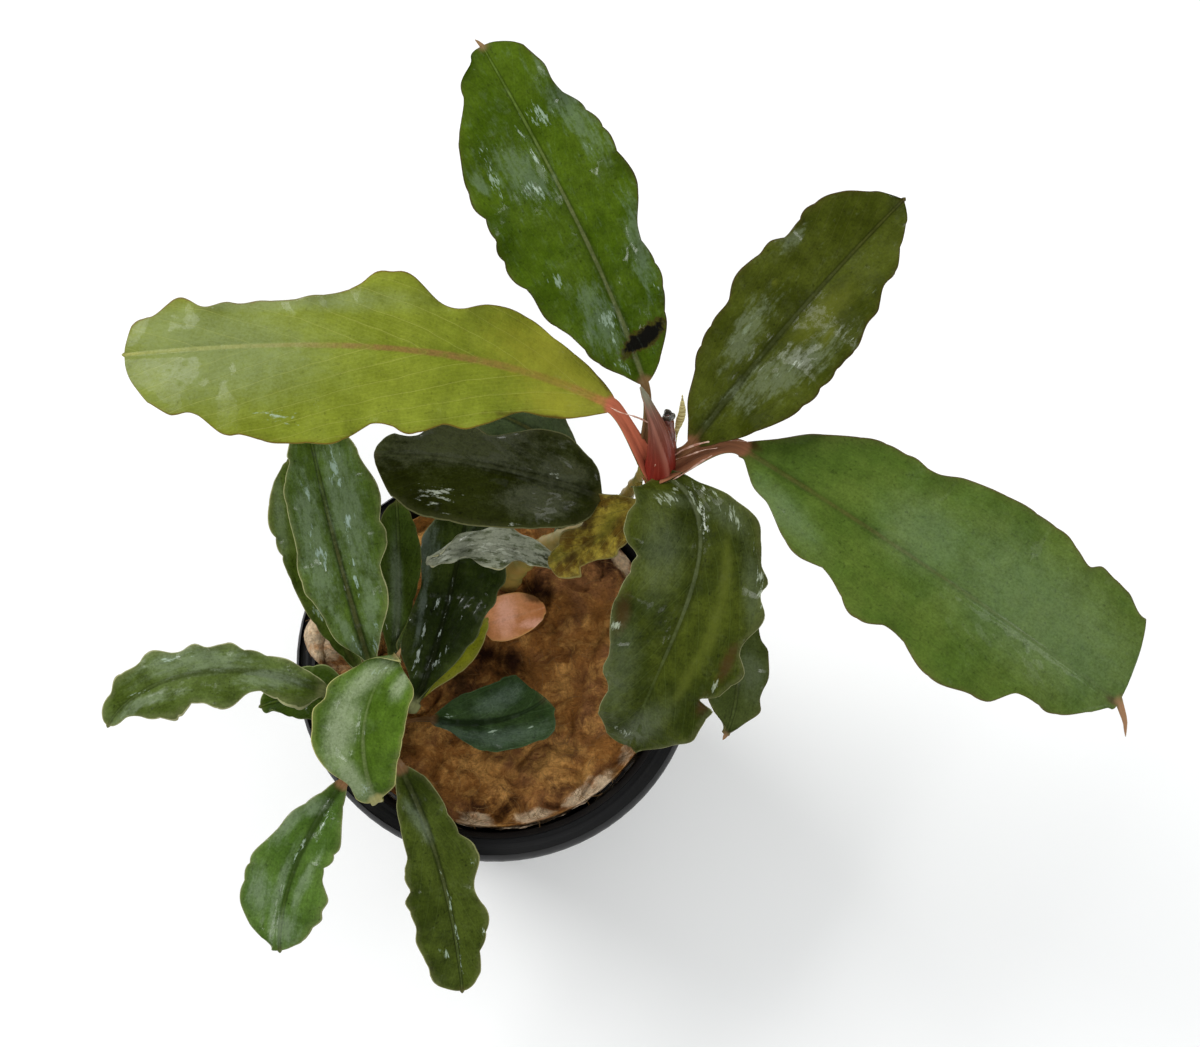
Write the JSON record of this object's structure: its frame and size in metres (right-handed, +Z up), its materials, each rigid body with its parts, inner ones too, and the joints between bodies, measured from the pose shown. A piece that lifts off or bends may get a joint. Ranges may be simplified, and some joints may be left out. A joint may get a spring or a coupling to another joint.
{
  "type": "bucephalandra plant in a net pot",
  "caption": "Small wavy-leaved aquarium plant with a tall and a low rosette, growing in rock wool in a round black net pot that stands on its base.",
  "frame": {"origin": "the middle of the pot's flat underside, at the height it stands on", "axes": "+Z up along the pot's axis; -Y is the front, where the picture is taken from; +X is to the right, along the plant's longest side"},
  "size_m": [0.1246, 0.1023, 0.1045],
  "materials": {
    "black_plastic": "satin black moulded plastic",
    "rock_wool": "damp, stained mineral fibre",
    "stem": "smooth, slightly waxy bark",
    "young_leaf": "smooth, rolled, maroon",
    "dry_sheath": "dry and papery",
    "leaf_bright": "waxy with wet gloss",
    "leaf_olive": "waxy, dark olive",
    "leaf_green": "satin green",
    "leaf_new": "thin, young, yellow green",
    "leaf_dark": "glossy near black green",
    "leaf_decaying": "matte, mottled yellow brown",
    "leaf_faded": "smooth, salmon"
  },
  "bodies": {
    "root": {"pot": "black_plastic", "rock_wool": "rock_wool", "tall_stem": "stem", "low_stem": "stem", "young_leaf": "young_leaf", "dry_sheath": "dry_sheath", "tall_leaf_back": "leaf_bright", "tall_leaf_back_right": "leaf_olive", "tall_leaf_right": "leaf_green", "tall_leaf_left": "leaf_new", "tall_leaf_front": "leaf_green", "tall_leaf_behind_front": "leaf_green", "tall_leaf_dark": "leaf_dark", "tall_leaf_behind_dark": "leaf_green", "tall_leaf_low": "leaf_dark", "tall_leaf_decaying": "leaf_decaying", "low_leaf_back": "leaf_bright", "low_leaf_back_left": "leaf_green", "low_leaf_back_narrow": "leaf_green", "low_leaf_back_right": "leaf_dark", "low_leaf_left": "leaf_green", "low_leaf_left_under": "leaf_bright", "low_leaf_top": "leaf_bright", "low_leaf_front_left": "leaf_bright", "low_leaf_front_right": "leaf_green", "low_leaf_right": "leaf_dark", "low_leaf_yellow": "leaf_decaying", "faded_leaf": "leaf_faded"}
  },
  "joints": []
}
